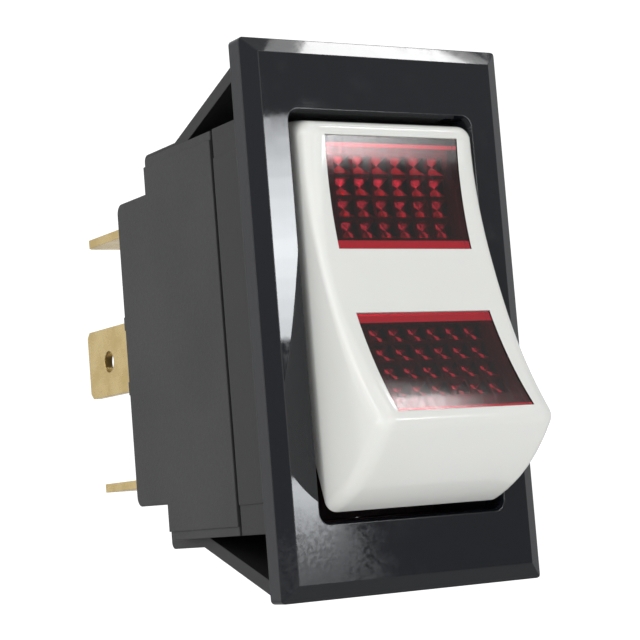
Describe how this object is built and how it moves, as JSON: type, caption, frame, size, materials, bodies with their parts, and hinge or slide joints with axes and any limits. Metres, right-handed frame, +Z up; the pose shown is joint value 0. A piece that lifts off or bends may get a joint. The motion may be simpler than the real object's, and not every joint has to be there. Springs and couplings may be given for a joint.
{
  "type": "panel rocker switch",
  "caption": "Rocker switch that snaps into a panel, with a concave paddle holding two red windows, sprung side wings and push-on tabs.",
  "frame": {"origin": "centre of the panel's cut-out, in the plane of the bezel's back face, which is the panel's front face", "axes": "+Y runs from the rocker through the panel to the terminals, +Z up along the bezel's long side, +X across its short side, to the right as seen from the front"},
  "size_m": [0.0252, 0.0479, 0.045],
  "materials": {
    "frame_black": "smooth moulded, slightly glossy",
    "base_black": "fine matt moulded grain",
    "fibre": "matt pressed fibre sheet",
    "rocker_white": "smooth glossy moulding, warm white",
    "lens_red": "clear red moulding, smooth front and pyramids behind",
    "lamp_glass": "clear glass",
    "resistor": "lacquered ceramic with tinned leads",
    "steel_wire": "drawn wire",
    "brass": "stamped sheet, bright",
    "copper": "stamped copper alloy strip",
    "silver": "turned and pressed silver alloy",
    "nylon": "natural moulded nylon"
  },
  "bodies": {
    "housing": {"bezel_frame": "frame_black", "base_housing": "base_black", "insulator_plate": "fibre", "upper_lamp": "lamp_glass", "lower_lamp": "lamp_glass", "upper_resistor": "resistor", "lower_resistor": "resistor", "upper_lamp_lead": "steel_wire", "lower_lamp_lead": "steel_wire", "left_upper_terminal": "brass", "left_upper_contact": "silver", "left_lower_terminal": "brass", "left_lower_contact": "silver", "left_common_terminal": "brass", "right_upper_terminal": "brass", "right_upper_contact": "silver", "right_lower_terminal": "brass", "right_lower_contact": "silver", "right_common_terminal": "brass"},
    "rocker": {"rocker_cap": "rocker_white", "rocker_carrier": "base_black", "upper_lens": "lens_red", "lower_lens": "lens_red"},
    "left_bar": {"left_contact_bar": "copper", "left_bar_upper_tip": "silver", "left_bar_lower_tip": "silver"},
    "left_pusher": {"left_plunger": "nylon", "left_plunger_spring": "steel_wire"},
    "right_bar": {"right_contact_bar": "copper", "right_bar_upper_tip": "silver", "right_bar_lower_tip": "silver"},
    "right_pusher": {"right_plunger": "nylon", "right_plunger_spring": "steel_wire"}
  },
  "joints": [
    {"name": "rocker_tilt", "type": "hinge", "parent": "housing", "child": "rocker", "pos_m": [0, 0.002, 0], "axis": [1, 0, 0], "range_deg": [0, 35.4]},
    {"name": "left_bar_rock", "type": "hinge", "parent": "housing", "child": "left_bar", "pos_m": [-0.0052, 0.0186, 0], "axis": [1, 0, 0], "range_deg": [-10, 0]},
    {"name": "left_plunger_slide", "type": "slide", "parent": "rocker", "child": "left_pusher", "axis": [0, 0.9527, -0.304], "range_m": [-0.0006, 0.0003], "stiffness_N_per_m": 400, "deforming": ["left_plunger_spring"]},
    {"name": "right_bar_rock", "type": "hinge", "parent": "housing", "child": "right_bar", "pos_m": [0.0052, 0.0186, 0], "axis": [1, 0, 0], "range_deg": [-10, 0]},
    {"name": "right_plunger_slide", "type": "slide", "parent": "rocker", "child": "right_pusher", "axis": [0, 0.9527, -0.304], "range_m": [-0.0006, 0.0003], "stiffness_N_per_m": 400, "deforming": ["right_plunger_spring"]}
  ],
  "couplings": [
    {"joint": "left_bar_rock", "follows": "rocker_tilt", "ratio": -0.28249},
    {"joint": "right_bar_rock", "follows": "rocker_tilt", "ratio": -0.28249}
  ]
}
